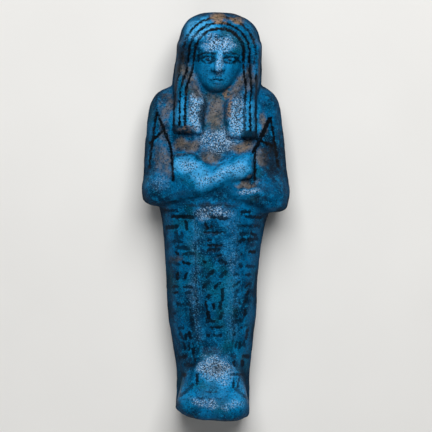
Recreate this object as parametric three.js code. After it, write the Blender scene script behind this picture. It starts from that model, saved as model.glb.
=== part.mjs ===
// A mummy-shaped burial figurine (ushabti) of moulded blue faience, lying on its back: one solid.
//
// Millimetres, +Z up. The figure faces +Z, its crown points along +Y and its soles along -Y.
// In the formulas a point is (x, h, z): x across, h the height above the soles, z the depth above the back.
// Every form is a distance, negative inside. The forms blend into one skin, and rays from a flat core
// inside the figure find where that skin lies, ring by ring from the soles to the crown.

import * as THREE from "three";
import { LoftGeometry } from "three/addons/geometries/LoftGeometry.js";
import { mergeVertices } from "three/addons/utils/BufferGeometryUtils.js";

// Driving dimensions
const LENGTH = 115;
const ELBOW_HALF = 20.5;
const WIG_HALF = 11.7;
const FOOT_HALF = 10.55;

// Heights above the soles
const LAPPET_END = 79.8;
const CHIN = 92.9;
const HAIRLINE = 107.2;
const DOME_START = 104;

// The shroud round the legs, as [height, size] stations
const SHROUD = {
  halfWidth: [
    [0, FOOT_HALF], [8, 10.4], [13.5, 10.35], [19, 10.95], [24, 11.7], [30, 12.5],
    [39, 12.85], [46, 13.35], [51, 13.9], [56, 14.7], [62, 16.3], [70, 17.0],
  ],
  front: [
    [0, 18.6], [5, 17.8], [10, 16.4], [14, 15.8], [24, 16.8], [40, 19.2], [56, 20.4], [64, 20.2], [70, 19.5],
  ],
  back: [[0, 0.3], [6, -0.5], [20, -0.8], [55, -0.8], [62, 0.2], [70, 0.7]],
  widest: 0.42,
  frontPower: 2.2,
  backPower: 2.6,
};

// The chest, shoulders and the mass of the arms
const BUST = {
  halfWidth: [
    [60, ELBOW_HALF], [63, ELBOW_HALF], [70, 19.4], [78, 19.0], [85, 18.0],
    [88, 17.2], [91, 15.9], [93.5, 14.0], [95.5, 10.5], [97, 5.0],
  ],
  front: [[60, 21.4], [66, 20.6], [74, 19.8], [80, 19.6], [86, 18.8], [90, 17.4], [93, 15.4], [97, 11.0]],
  back: [[60, 0.6], [86, 0.6], [90, 1.6], [93, 3.4], [97, 7.0]],
  widest: 0.47,
  frontPower: 2.3,
  backPower: 3.0,
  tilt: 0.03,
};
const HEM = { middle: 62.5, droop: 2.2, halfSpan: 17, skew: 0.04 };
const UPPER_ARM = { from: [13.6, 88.0, 9.8], to: [15.0, 66.0, 10.6], fromRadius: 4.2, toRadius: 4.6 };

// The wig without its lappets, below the dome of the head
const WIG = {
  halfWidth: [[84, 10.4], [92, 11.9], [95, 12.3], [99, 11.9], [DOME_START, WIG_HALF]],
  front: [[84, 14.0], [92, 18.0], [96, 20.0], [DOME_START, 21.5]],
  back: [[84, 0.2], [90, -0.6], [100, -0.4], [DOME_START, 0.2]],
  widest: 0.5,
  frontPower: 2.4,
  backPower: 2.8,
};
const WIG_END = 84;
const DOME_DEPTH = 11.5;
const DOME_POWER = 2.7;
const DOME_DEPTH_POWER = 2.1;
const CROWN_TILT = 0.03;

// The two lappets of the wig, lying on the chest
const LAPPET = {
  x: [[80, 7.0], [90, 7.1], [96, 8.2], [102, 8.8]],
  halfWidth: [[80, 4.8], [90, 4.7], [96, 3.6], [102, 2.8]],
  front: [[80, 21.6], [90, 21.8], [96, 21.4], [104, 19.0]],
  core: 14.0,
  top: 106,
  power: 3.2,
  skew: 0.06,
};

// The hollow in the wig that frames the face
const NICHE = { h: 98.7, halfWidth: 8.4, halfHeight: 8.0, floor: 18.1, slopeStart: 100.5, slope: 0.45 };

// The face, on the canon of thirds: hairline to brow, brow to nose, nose to chin
const FACE_THIRD = (HAIRLINE - CHIN) / 3;
const BROW = HAIRLINE - FACE_THIRD;
const NOSE_BASE = CHIN + FACE_THIRD;
const FACE = { halfWidth: 7.8, halfHeight: 8.1, core: 12.4, depth: 10.2 };
const FOREHEAD = { centre: [0, 104.2, 16.4], radii: [6.6, 4.6, 4.7] };
const EYE_SPACING = (2 * FACE.halfWidth) / 5;

// The crossed arms: elbow, middle and wrist of each forearm, and how far it blends into the bust across x
const OVER_ARM = {
  path: [[-15.0, 65.0, 15.4], [-5.0, 66.2, 19.6], [7.0, 71.0, 21.5]],
  blend: [[-14, 3.4], [-8, 1.6], [-3, 0.7], [0, 0.7]],
  fist: { centre: [7.7, 71.5, 21.2], half: [2.9, 3.3, 2.6] },
};
const UNDER_ARM = {
  path: [[15.0, 63.9, 15.2], [6.0, 65.6, 18.9], [-6.5, 71.0, 20.0]],
  blend: [[0, 0.9], [8, 0.9], [11, 1.6], [14, 3.4]],
  fist: { centre: [-8.5, 71.3, 20.5], half: [3.6, 3.8, 2.4] },
};
const ARM_RADII = [4.6, 3.4, 3.2];
const FIST_ROUNDING = 1.6;

// The feet, as instep and toe points of each foot
const INSTEP = { point: [2.4, 17.0, 10.2], radius: 5.6 };
const TOES = { point: [4.6, 3.6, 18.2], radius: 5.6 };
const SOLE_RISE = 1.5;
const SOLE_LOW_POINT = 2.6;
const SOLE_REACH = 14;

// How far the figure's middle drifts sideways, as [height, shift] stations
const DRIFT = [
  [0, 0.75], [12, 0.7], [35, 0.0], [52, 0.0], [64, 0.5], [76, 0.2],
  [88, 0.0], [100, 0.8], [108, 1.1], [LENGTH, 1.0],
];

// The flat core that the rays leave from: [height, half-length] and [height, depth]
const CORE_HALF = [
  [0, 6.5], [20, 7.5], [58, 12.0], [64, 16.0], [82, 15.5], [88, 13.0],
  [93, 9.5], [104, 9.0], [110, 7.6], [113, 5.2], [LENGTH, 0.3],
];
const CORE_DEPTH = [
  [0, 11.0], [8, 10.0], [16, 8.0], [40, 9.0], [75, 10.0], [100, 11.0], [LENGTH, DOME_DEPTH],
];
const RAY_LENGTH = 40;
const RAY_HALVINGS = 34;

// Facets
const FRONT_COLUMNS = 38;
const SIDE_COLUMNS = 8;
const BACK_COLUMNS = 8;
const SOLE_RINGS = [0.25, 0.5, 0.75];
const SETTLE_ROUNDS = 16;
const SETTLE_STEP = 0.02;

// Blending of distances: a join has a fillet of about the given reach, and so has a cut or a trim
function join(a, b, reach) {
  const overlap = Math.max(reach - Math.abs(a - b), 0);
  return Math.min(a, b) - (overlap * overlap) / (4 * reach);
}

function trim(a, b, reach) {
  return -join(-a, -b, reach);
}

function cut(a, b, reach) {
  return trim(a, -b, reach);
}

// A smooth curve through [height, size] stations: cubic pieces whose slopes are central differences
function along(stations, height) {
  const last = stations.length - 1;
  if (height <= stations[0][0]) return stations[0][1];
  if (height >= stations[last][0]) return stations[last][1];
  const i = stations.findIndex((station) => station[0] > height) - 1;
  const slope = (k) => {
    const [before, after] = [stations[Math.max(k - 1, 0)], stations[Math.min(k + 1, last)]];
    return (after[1] - before[1]) / (after[0] - before[0]);
  };
  const span = stations[i + 1][0] - stations[i][0];
  const t = (height - stations[i][0]) / span;
  const bend = t * t * (3 - 2 * t);
  const leave = t * (1 - t) * (1 - t) * span * slope(i);
  const arrive = t * t * (1 - t) * span * slope(i + 1);
  return stations[i][1] * (1 - bend) + stations[i + 1][1] * bend + leave - arrive;
}

// A superellipse's distance: below 1 inside, scaled to millimetres by its shorter half-axis
function superellipse(across, halfAcross, deep, halfDeep, power) {
  const share = (Math.abs(across / halfAcross) ** power + Math.abs(deep / halfDeep) ** power) ** (1 / power);
  return (share - 1) * Math.min(halfAcross, halfDeep);
}

// A section of a form that is lofted along the height, widest at a share of its depth
function section(form, x, z, halfWidth, front, back) {
  const waist = back + form.widest * (front - back);
  return z > waist
    ? superellipse(x, halfWidth, z - waist, front - waist, form.frontPower)
    : superellipse(x, halfWidth, z - waist, waist - back, form.backPower);
}

// The whole loft, ending at its last station
function loft(form, x, h, z) {
  const top = form.halfWidth.at(-1)[0];
  const sizes = [form.halfWidth, form.front, form.back].map((stations) => along(stations, h));
  return Math.max(section(form, x, z, ...sizes), h - top);
}

function ellipsoid(x, h, z, centre, radii) {
  const p = [(x - centre[0]) / radii[0], (h - centre[1]) / radii[1], (z - centre[2]) / radii[2]];
  const share = Math.hypot(...p);
  const steepness = Math.hypot(p[0] / radii[0], p[1] / radii[1], p[2] / radii[2]);
  return (share * (share - 1)) / Math.max(steepness, 1e-6);
}

// A round limb from one point to another, its radius changing evenly
function limb(x, h, z, from, to, fromRadius, toRadius) {
  const run = to.map((value, k) => value - from[k]);
  const offset = [x - from[0], h - from[1], z - from[2]];
  const dot = offset[0] * run[0] + offset[1] * run[1] + offset[2] * run[2];
  const t = THREE.MathUtils.clamp(dot / (run[0] ** 2 + run[1] ** 2 + run[2] ** 2), 0, 1);
  const gap = Math.hypot(offset[0] - t * run[0], offset[1] - t * run[1], offset[2] - t * run[2]);
  return gap - THREE.MathUtils.lerp(fromRadius, toRadius, t);
}

function roundedBlock(x, h, z, { centre, half }, rounding) {
  const out = [x, h, z].map((value, k) => Math.abs(value - centre[k]) - half[k] + rounding);
  const outside = Math.hypot(...out.map((value) => Math.max(value, 0)));
  return outside + Math.min(Math.max(...out), 0) - rounding;
}

// The shroud with the two feet pushing forward under it
function shroudWithFeet(x, h, z) {
  const foot = (side) => limb(x * side, h, z, INSTEP.point, TOES.point, INSTEP.radius, TOES.radius);
  return join(loft(SHROUD, x, h, z), join(foot(1), foot(-1), 7), 1.0);
}

// The bust with its upper arms, ending below in the curved hem of the elbows
function bustWithArms(x, h, z) {
  const { from, to, fromRadius, toRadius } = UPPER_ARM;
  const upperArm = limb(Math.abs(x), h, z, from, to, fromRadius, toRadius);
  const hem = HEM.middle - HEM.droop * (x / HEM.halfSpan) ** 2 - HEM.skew * x;
  return trim(join(loft(BUST, x, h - BUST.tilt * x, z), upperArm, 3), hem - h, 2.6);
}

// A forearm bent at its middle, ending in a blocky fist on the other side of the chest
function forearm(x, h, z, arm) {
  const [elbow, middle, wrist] = arm.path;
  const lower = limb(x, h, z, elbow, middle, ARM_RADII[0], ARM_RADII[1]);
  const upper = limb(x, h, z, middle, wrist, ARM_RADII[1], ARM_RADII[2]);
  return join(Math.min(lower, upper), roundedBlock(x, h, z, arm.fist, FIST_ROUNDING), 0.8);
}

// The wig: a loft that closes in a dome at the crown, two lappets, and the hollow for the face
function wig(x, h, z) {
  const rise = THREE.MathUtils.clamp((h + CROWN_TILT * x - DOME_START) / (LENGTH - DOME_START), 0, 1);
  const shrink = Math.max(1 - rise ** DOME_POWER, 1e-4) ** (1 / DOME_POWER);
  const flatten = Math.max(1 - rise ** DOME_DEPTH_POWER, 1e-4) ** (1 / DOME_DEPTH_POWER);
  const front = DOME_DEPTH + (along(WIG.front, h) - DOME_DEPTH) * flatten;
  const back = DOME_DEPTH + (along(WIG.back, h) - DOME_DEPTH) * flatten;
  const head = trim(section(WIG, x, z, along(WIG.halfWidth, h) * shrink, front, back), WIG_END - h, 0.8);

  const across = Math.abs(x) - along(LAPPET.x, h);
  const depth = along(LAPPET.front, h) - LAPPET.core;
  const strip = superellipse(across, along(LAPPET.halfWidth, h), z - LAPPET.core, depth, LAPPET.power);
  const lappet = trim(strip, Math.max(LAPPET_END - LAPPET.skew * x - h, h - LAPPET.top), 1.2);

  const ring = Math.hypot(x / NICHE.halfWidth, (h - NICHE.h) / NICHE.halfHeight);
  const floor = NICHE.floor + NICHE.slope * Math.max(h - NICHE.slopeStart, 0);
  const niche = trim((ring - 1) * NICHE.halfWidth, floor - z, 1.0);
  return cut(join(head, lappet, 1.8), niche, 3.0);
}

// A calm, general face: an oval with brows, eyes, nose, lips, chin and ears
function face(x, h, z) {
  const side = Math.abs(x);
  const middle = (HAIRLINE + CHIN) / 2;
  const oval = ellipsoid(x, h, z, [0, middle, FACE.core], [FACE.halfWidth, FACE.halfHeight, FACE.depth]);
  const chin = ellipsoid(x, h, z, [0, CHIN + 1.7, 18.2], [2.8, 1.9, 3.0]);
  const brow = limb(side, h, z, [1.4, BROW + 0.5, 22.0], [5.3, BROW + 0.1, 20.1], 0.7, 0.5);
  const socket = ellipsoid(side, h, z, [EYE_SPACING, BROW - 1.2, 23.2], [2.3, 1.3, 1.6]);
  const eye = ellipsoid(side, h, z, [EYE_SPACING, BROW - 1.2, 20.9], [1.6, 0.75, 0.9]);
  const bridge = limb(x, h, z, [0, BROW, 22.0], [0, NOSE_BASE + 1.0, 23.4], 0.75, 1.15);
  const nostril = ellipsoid(side, h, z, [1.1, NOSE_BASE + 0.9, 22.4], [0.9, 0.8, 1.0]);
  const upperLip = limb(side, h, z, [0, NOSE_BASE - 1.5, 21.5], [1.8, NOSE_BASE - 1.6, 20.9], 0.7, 0.35);
  const lowerLip = limb(side, h, z, [0, NOSE_BASE - 2.6, 21.3], [1.4, NOSE_BASE - 2.5, 20.8], 0.7, 0.35);
  const ear = ellipsoid(side, h, z, [8.8, BROW - 2.2, 16.8], [1.0, 2.5, 1.3]);
  const forehead = ellipsoid(x, h, z, FOREHEAD.centre, FOREHEAD.radii);

  let form = join(join(join(oval, forehead, 1.5), chin, 2.4), brow, 1.0);
  form = join(cut(form, socket, 0.8), eye, 0.3);
  form = join(join(form, bridge, 0.9), nostril, 0.5);
  form = join(join(form, upperLip, 0.4), lowerLip, 0.4);
  return join(form, ear, 0.6);
}

// The whole figure, cut flat along its back and its soles
function figure(x, h, z) {
  let form = join(shroudWithFeet(x, h, z), bustWithArms(x, h, z), 0.8);
  for (const arm of [UNDER_ARM, OVER_ARM]) form = join(form, forearm(x, h, z, arm), along(arm.blend, x));
  form = join(form, join(wig(x, h, z), face(x, h, z), 0.5), 0.7);
  return Math.max(trim(form, -h, 1.6), -z);
}

// The columns of a ring: rays straight up from the core, round one end, straight down, and round the other
function ringRays() {
  const rays = [];
  const add = (share, angle) => rays.push({ share, across: Math.cos(angle), up: Math.sin(angle) });
  for (let k = 0; k < FRONT_COLUMNS; k++) add(-1 + (2 * k) / FRONT_COLUMNS, Math.PI / 2);
  for (let k = 0; k < SIDE_COLUMNS; k++) add(1, Math.PI / 2 - (Math.PI * k) / SIDE_COLUMNS);
  for (let k = 0; k < BACK_COLUMNS; k++) add(1 - (2 * k) / BACK_COLUMNS, -Math.PI / 2);
  for (let k = 0; k < SIDE_COLUMNS; k++) add(-1, -Math.PI / 2 - (Math.PI * k) / SIDE_COLUMNS);
  return rays;
}

// Where a ray meets the skin, by halving
function skinPoint(h, ray) {
  const x = ray.share * along(CORE_HALF, h);
  const z = along(CORE_DEPTH, h);
  let [inside, outside] = [0, RAY_LENGTH];
  for (let k = 0; k < RAY_HALVINGS; k++) {
    const reach = (inside + outside) / 2;
    if (figure(x + reach * ray.across, h, z + reach * ray.up) < 0) inside = reach;
    else outside = reach;
  }
  return new THREE.Vector3(x + inside * ray.across, h, Math.max(z + inside * ray.up, 0));
}

// Ring heights: even steps within each zone, closer where the carving is finer
function ringHeights() {
  const zones = [
    [0.02, 1.6, 4], [1.6, 9, 5], [9, 20, 6], [20, 58, 7], [58, 63, 6],
    [63, 77, 12], [77, 82, 5], [82, 89, 4], [89, 104, 18],
  ];
  const heights = [];
  for (const [from, to, steps] of zones) {
    for (let k = 0; k < steps; k++) heights.push(from + ((to - from) * k) / steps);
  }
  const domeRings = 8;
  for (let k = 0; k < domeRings; k++) {
    heights.push(DOME_START + (LENGTH - DOME_START) * Math.sin((Math.PI / 2) * (k / (domeRings - 0.6))));
  }
  return heights;
}

// The steepest direction of the figure's distance at a point, by small differences
function slopeAt({ x, y, z }) {
  const s = SETTLE_STEP;
  return new THREE.Vector3(
    figure(x + s, y, z) - figure(x - s, y, z),
    figure(x, y + s, z) - figure(x, y - s, z),
    figure(x, y, z + s) - figure(x, y, z - s),
  ).divideScalar(2 * s);
}

// Each inner point slides along the skin towards the middle of its four neighbours, and back onto the skin
function settle(rings) {
  return rings.map((ring, r) => {
    if (r === 0 || r === rings.length - 1) return ring;
    return ring.map((point, k) => {
      const count = ring.length;
      const beside = [ring[(k + 1) % count], ring[(k + count - 1) % count]];
      const neighbours = [...beside, rings[r - 1][k], rings[r + 1][k]];
      const middle = neighbours.reduce((sum, other) => sum.add(other), new THREE.Vector3()).divideScalar(4);
      const move = middle.sub(point);
      const slope = slopeAt(point);
      const steepness = Math.max(slope.length(), 0.3);
      const normal = slope.divideScalar(steepness);
      move.addScaledVector(normal, -move.dot(normal));
      const moved = point.clone().addScaledVector(move, 0.5);
      const miss = THREE.MathUtils.clamp(figure(moved.x, moved.y, moved.z) / steepness, -0.3, 0.3);
      moved.addScaledVector(normal, -miss);
      moved.z = Math.max(moved.z, 0);
      return moved;
    });
  });
}

// Small distortions of the firing: the soles bulge, and the middle drifts from side to side
function bend(point) {
  const fade = Math.max(1 - point.y / SOLE_REACH, 0) ** 2;
  const bulge = SOLE_RISE * ((point.x - SOLE_LOW_POINT) / FOOT_HALF) ** 2 * fade;
  point.x += along(DRIFT, point.y);
  point.y += bulge;
}

function figureGeometry() {
  const rays = ringRays();
  let rings = ringHeights().map((h) => rays.map((ray) => skinPoint(h, ray)));
  for (let k = 0; k < SETTLE_ROUNDS; k++) rings = settle(rings);
  const middle = new THREE.Vector3(0, rings[0][0].y, along(CORE_DEPTH, 0));
  const soleRings = SOLE_RINGS.map((share) => rings[0].map((point) => middle.clone().lerp(point, share)));
  const sections = [...soleRings, ...rings];
  for (const point of sections.flat()) {
    bend(point);
    point.y -= LENGTH / 2;
  }
  const loftOfRings = new LoftGeometry(sections, { capStart: true, capEnd: true });
  const geometry = new THREE.BufferGeometry().copy(loftOfRings);
  geometry.deleteAttribute("uv");
  geometry.deleteAttribute("normal");
  const closed = mergeVertices(geometry, 1e-4);
  closed.computeVertexNormals();
  closed.computeBoundingBox();
  const box = closed.boundingBox;
  return closed.translate(-(box.min.x + box.max.x) / 2, -(box.min.y + box.max.y) / 2, -box.min.z);
}

const faience = new THREE.MeshStandardMaterial({ color: 0x14608f, roughness: 0.35, metalness: 0 });
const ushabti = new THREE.Mesh(figureGeometry(), faience);
ushabti.name = "ushabti_figure";

const part = new THREE.Group();
part.add(ushabti);
export default part;
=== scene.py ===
"""A mummy-shaped ushabti of blue faience, lying on its back and seen from above.

The figure is one closed skin. Its forms are distances, negative inside, that blend into each other, and
rays from a flat core inside the figure find the skin ring by ring, from the soles to the crown. Lengths in
the formulas are millimetres: x across, h the height above the soles, z the depth above the back.
"""

import math

import bpy
import numpy as np
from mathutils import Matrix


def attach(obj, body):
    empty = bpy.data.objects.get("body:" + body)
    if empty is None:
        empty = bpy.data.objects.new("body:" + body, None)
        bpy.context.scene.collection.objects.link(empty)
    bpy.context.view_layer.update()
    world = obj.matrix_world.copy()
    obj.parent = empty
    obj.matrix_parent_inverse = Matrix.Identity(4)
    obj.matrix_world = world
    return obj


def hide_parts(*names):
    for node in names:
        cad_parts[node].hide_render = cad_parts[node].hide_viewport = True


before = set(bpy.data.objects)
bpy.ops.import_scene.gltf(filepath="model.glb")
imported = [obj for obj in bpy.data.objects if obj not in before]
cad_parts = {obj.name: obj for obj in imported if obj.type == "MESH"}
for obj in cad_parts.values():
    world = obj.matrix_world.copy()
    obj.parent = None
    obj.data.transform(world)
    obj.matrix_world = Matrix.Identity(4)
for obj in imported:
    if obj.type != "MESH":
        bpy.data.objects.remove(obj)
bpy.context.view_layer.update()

MM = 0.001

# Driving sizes of the figure
LENGTH = 115.0
ELBOW_HALF = 20.5
WIG_HALF = 11.7
FOOT_HALF = 10.55

# Heights above the soles
LAPPET_END = 79.8
WIG_END = 84.0
CHIN = 92.9
HAIRLINE = 107.2
DOME_START = 104.0

# Lofted forms: [height, size] stations, the share of the depth where a section is widest, and the powers of
# its front and back halves
SHROUD = {
    "half_width": [
        [0, FOOT_HALF], [8, 10.4], [13.5, 10.35], [19, 10.95], [24, 11.7], [30, 12.5],
        [39, 12.85], [46, 13.35], [51, 13.9], [56, 14.7], [62, 16.3], [70, 17.0],
    ],
    "front": [
        [0, 18.6], [5, 17.8], [10, 16.4], [14, 15.8], [24, 16.8],
        [40, 19.2], [56, 20.4], [64, 20.2], [70, 19.5],
    ],
    "back": [[0, 0.3], [6, -0.5], [20, -0.8], [55, -0.8], [62, 0.2], [70, 0.7]],
    "widest": 0.42,
    "front_power": 2.2,
    "back_power": 2.6,
}
BUST = {
    "half_width": [
        [60, ELBOW_HALF], [63, ELBOW_HALF], [70, 19.4], [78, 19.0], [85, 18.0],
        [88, 17.2], [91, 15.9], [93.5, 14.0], [95.5, 10.5], [97, 5.0],
    ],
    "front": [
        [60, 21.4], [66, 20.6], [74, 19.8], [80, 19.6], [86, 18.8], [90, 17.4], [93, 15.4], [97, 11.0],
    ],
    "back": [[60, 0.6], [86, 0.6], [90, 1.6], [93, 3.4], [97, 7.0]],
    "widest": 0.47,
    "front_power": 2.3,
    "back_power": 3.0,
}
WIG = {
    "half_width": [[84, 10.4], [92, 11.9], [95, 12.3], [99, 11.9], [DOME_START, WIG_HALF]],
    "front": [[84, 14.0], [92, 18.0], [96, 20.0], [DOME_START, 21.5]],
    "back": [[84, 0.2], [90, -0.6], [100, -0.4], [DOME_START, 0.2]],
    "widest": 0.5,
    "front_power": 2.4,
    "back_power": 2.8,
    "end_rounding": 0.8,
}
DOME_DEPTH = 11.5
DOME_POWER = 2.7
DOME_DEPTH_POWER = 2.1
CROWN_TILT = 0.03

# Lappets, the hollow round the face, and the face on the canon of thirds
LAPPET = {
    "x": [[80, 7.0], [90, 7.1], [96, 8.2], [102, 8.8]],
    "half_width": [[80, 4.8], [90, 4.7], [96, 3.6], [102, 2.8]],
    "front": [[80, 21.6], [90, 21.8], [96, 21.4], [104, 19.0]],
    "core": 14.0,
    "top": 106.0,
    "power": 3.2,
    "skew": 0.06,
    "end_rounding": 1.2,
    "blend": 1.8,
}
NICHE = {
    "h": 98.7,
    "half_width": 8.4,
    "half_height": 8.0,
    "floor": 18.1,
    "slope_start": 100.5,
    "slope": 0.45,
    "rounding": 1.0,
    "edge": 3.0,
}
FACE_THIRD = (HAIRLINE - CHIN) / 3
BROW = HAIRLINE - FACE_THIRD
NOSE_BASE = CHIN + FACE_THIRD
FACE_HALF = 7.8
EYE_SPACING = 2 * FACE_HALF / 5
EYE_LEVEL = BROW - 1.2

# Parts of the face: ellipsoids as (centre, radii), and limbs as (start, end, radius at the start, at the end)
FACE_OVAL = ((0, (HAIRLINE + CHIN) / 2, 12.4), (FACE_HALF, 8.1, 10.2))
FOREHEAD = ((0, 104.2, 16.4), (6.6, 4.6, 4.7))
CHIN_BOSS = ((0, CHIN + 1.7, 18.2), (2.8, 1.9, 3.0))
BROW_RIDGE = ((1.4, BROW + 0.5, 22.0), (5.3, BROW + 0.1, 20.1), 0.7, 0.5)
EYE_SOCKET = ((EYE_SPACING, EYE_LEVEL, 23.2), (2.3, 1.3, 1.6))
EYEBALL = ((EYE_SPACING, EYE_LEVEL, 20.9), (1.6, 0.75, 0.9))
NOSE_BRIDGE = ((0, BROW, 22.0), (0, NOSE_BASE + 1.0, 23.4), 0.75, 1.15)
NOSTRIL = ((1.1, NOSE_BASE + 0.9, 22.4), (0.9, 0.8, 1.0))
UPPER_LIP = ((0, NOSE_BASE - 1.5, 21.5), (1.8, NOSE_BASE - 1.6, 20.9), 0.7, 0.35)
LOWER_LIP = ((0, NOSE_BASE - 2.6, 21.3), (1.4, NOSE_BASE - 2.5, 20.8), 0.7, 0.35)
EAR = ((8.8, BROW - 2.2, 16.8), (1.0, 2.5, 1.3))

# Upper arms as a limb, the tilt of the shoulders, and the hem that hangs lower at the elbows
UPPER_ARM = ((13.6, 88.0, 9.8), (15.0, 66.0, 10.6), 4.2, 4.6)
UPPER_ARM_BLEND = 3.0
SHOULDER_TILT = 0.03
HEM = {"middle": 62.5, "droop": 2.2, "droop_at": 17.0, "skew": 0.04, "rounding": 2.6}

# Crossed arms: elbow, middle and wrist of each forearm, its radii there, and how far it blends into the bust
OVER_ARM = ((-15.0, 65.0, 15.4), (-5.0, 66.2, 19.6), (7.0, 71.0, 21.5))
UNDER_ARM = ((15.0, 63.9, 15.2), (6.0, 65.6, 18.9), (-6.5, 71.0, 20.0))
ARM_RADII = (4.6, 3.4, 3.2)
OVER_BLEND = [[-14, 3.4], [-8, 1.6], [-3, 0.7], [0, 0.7]]
UNDER_BLEND = [[0, 0.9], [8, 0.9], [11, 1.6], [14, 3.4]]
OVER_FIST = ((7.7, 71.5, 21.2), (2.9, 3.3, 2.6))
UNDER_FIST = ((-8.5, 71.3, 20.5), (3.6, 3.8, 2.4))
FIST_ROUNDING = 1.6
WRIST_BLEND = 0.8

# Feet: instep and toe points, and the bulge of the soles
INSTEP = (2.4, 17.0, 10.2)
INSTEP_RADIUS = 5.6
TOES = (4.6, 3.6, 18.2)
TOE_RADIUS = 5.6
FEET_BLEND = 7.0
INSTEP_BLEND = 1.0
SOLE_ROUNDING = 1.6
SOLE_RISE = 1.5
SOLE_LOW_POINT = 2.6
SOLE_REACH = 14.0

# How far the large forms blend into each other
WAIST_BLEND = 0.8
FACE_BLEND = 0.5
HEAD_BLEND = 0.7

# How far the figure's middle drifts sideways, as [height, shift] stations
DRIFT = [
    [0, 0.75], [12, 0.7], [35, 0.0], [52, 0.0], [64, 0.5], [76, 0.2],
    [88, 0.0], [100, 0.8], [108, 1.1], [LENGTH, 1.0],
]

# The flat core that the rays leave from, and the grid of rays
CORE_HALF = [
    [0, 6.5], [20, 7.5], [58, 12.0], [64, 16.0], [82, 15.5], [88, 13.0],
    [93, 9.5], [104, 9.0], [110, 7.6], [113, 5.2], [LENGTH, 0.3],
]
CORE_DEPTH = [[0, 11.0], [8, 10.0], [16, 8.0], [40, 9.0], [75, 10.0], [100, 11.0], [LENGTH, DOME_DEPTH]]
RAY_LENGTH = 40.0
RAY_HALVINGS = 28
FRONT_COLUMNS = 150
SIDE_COLUMNS = 36
BACK_COLUMNS = 20
SETTLE_ROUNDS = 10
SOLE_SHARES = np.linspace(0.04, 0.96, 12)
RING_ZONES = ((0.02, 1.6, 12), (1.6, 12, 34), (12, 58, 130), (58, 80, 78), (80, 92, 40), (92, DOME_START, 50))
DOME_RINGS = 40
DOME_END = 0.985

# Uneven skin: (height, cell, seed) of each size of noise, and the walks that measure how enclosed a point is,
# for the painted shade in hollows
RELIEF = ((0.18, 9.0, 1), (0.11, 3.1, 2), (0.06, 1.1, 3))
HOLLOW_WALKS = ((0.7, 0.5), (1.5, 0.3), (3.0, 0.2))
NOISE_CELLS = 32
FAR = 9.0

# Painted lines: (radius or place, half-width), or (start, end, half-width)
STRIPE_CENTRE = 103.0
WIG_STRIPES = ((6.9, 0.42), (8.5, 0.36), (10.2, 0.36))
LAPPET_SPREAD = 1.4
SIDE_STRIPES = {"spacing": 3.2, "half_width": 0.35, "outside": 10.5, "low": 1.5, "high": 16.0}
BACK_STRIPES = {"spacing": 3.4, "half_width": 0.35, "high": 7.0}
NARROWEST = 0.15
HOE_STROKES = (
    ((-16.4, 87.0), (-12.3, 76.5), 0.45),
    ((-12.3, 76.5), (-11.9, 67.5), 0.4),
    ((-16.4, 87.0), (-18.6, 71.0), 0.4),
    ((-18.2, 78.0), (-14.9, 81.0), 0.4),
    ((15.6, 85.2), (12.4, 78.6), 0.65),
    ((12.4, 78.6), (10.6, 75.6), 0.5),
    ((13.0, 78.8), (16.0, 77.6), 0.5),
    ((15.9, 84.8), (17.8, 72.0), 0.4),
    ((11.2, 76.0), (11.0, 67.8), 0.4),
)
# Strokes on the feet: the two diagonals are painted shade along the ankle creases, the two dashes across the
# toes are paint
FOOT_STROKES_AND_SHADE = (
    ((-9.1, 6.6), (-5.7, 10.0), 0.5),
    ((9.6, 6.6), (6.2, 9.2), 0.45),
    ((-1.6, 8.3), (0.8, 8.4), 0.3),
    ((-4.4, 6.3), (2.4, 6.7), 0.22),
)
TEXT_COLUMNS = ((-8.4, 3.3, 10.0), (0.5, 3.6, 21.0), (9.0, 3.0, 9.0))
TEXT_DIVIDERS = (-4.7, 6.6)
TEXT_TOP = 58.0
TEXT_END = 20.0
TEXT_ROW = 2.9
TEXT_SEED = 7
DIVIDER_HALF = 0.2
GROOVE_DEPTH = 0.09

# Patches of the front: ovals are (x, height, half-width, half-height, strength), and bars are (start, end,
# reach, strength)

# Worn, with flecks that are partly painted glints: forehead, nose, chest, fist, elbow, lappets, waist, legs,
# instep, toes, wig, foot and elbow
WORN_AND_GLINT_OVALS = (
    (0.3, 105.6, 4.4, 2.4, 1.0), (0.0, 100.5, 1.2, 3.0, 0.8), (1.0, 78.4, 5.0, 3.4, 0.92),
    (-7.6, 71.0, 2.6, 2.4, 0.55), (9.3, 64.6, 3.2, 1.1, 0.9), (-5.0, 86.2, 2.2, 6.3, 1.0),
    (5.9, 85.4, 2.5, 6.1, 1.0), (0.5, 58.6, 5.4, 2.0, 0.62), (-5.4, 36.0, 2.2, 5.0, 0.28),
    (6.0, 44.0, 1.8, 5.5, 0.26), (0.8, 14.8, 5.2, 3.8, 1.0), (-2.4, 4.6, 4.2, 1.2, 0.58),
    (5.0, 4.9, 3.6, 1.3, 0.52), (-7.0, 108.5, 2.6, 1.6, 0.5), (7.0, 10.0, 1.6, 3.0, 0.2),
    (-15.8, 66.5, 2.6, 2.4, 0.3),
)
# Worn, with flecks that are partly painted glints: the upper forearm, and the legs between the columns
WORN_AND_GLINT_BARS = (
    ((-4.0, 67.2), (7.0, 71.6), 2.8, 0.5), ((-5.0, 57.0), (-4.4, 24.0), 2.8, 0.24),
    ((5.6, 57.0), (5.4, 24.0), 2.8, 0.22),
)
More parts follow.
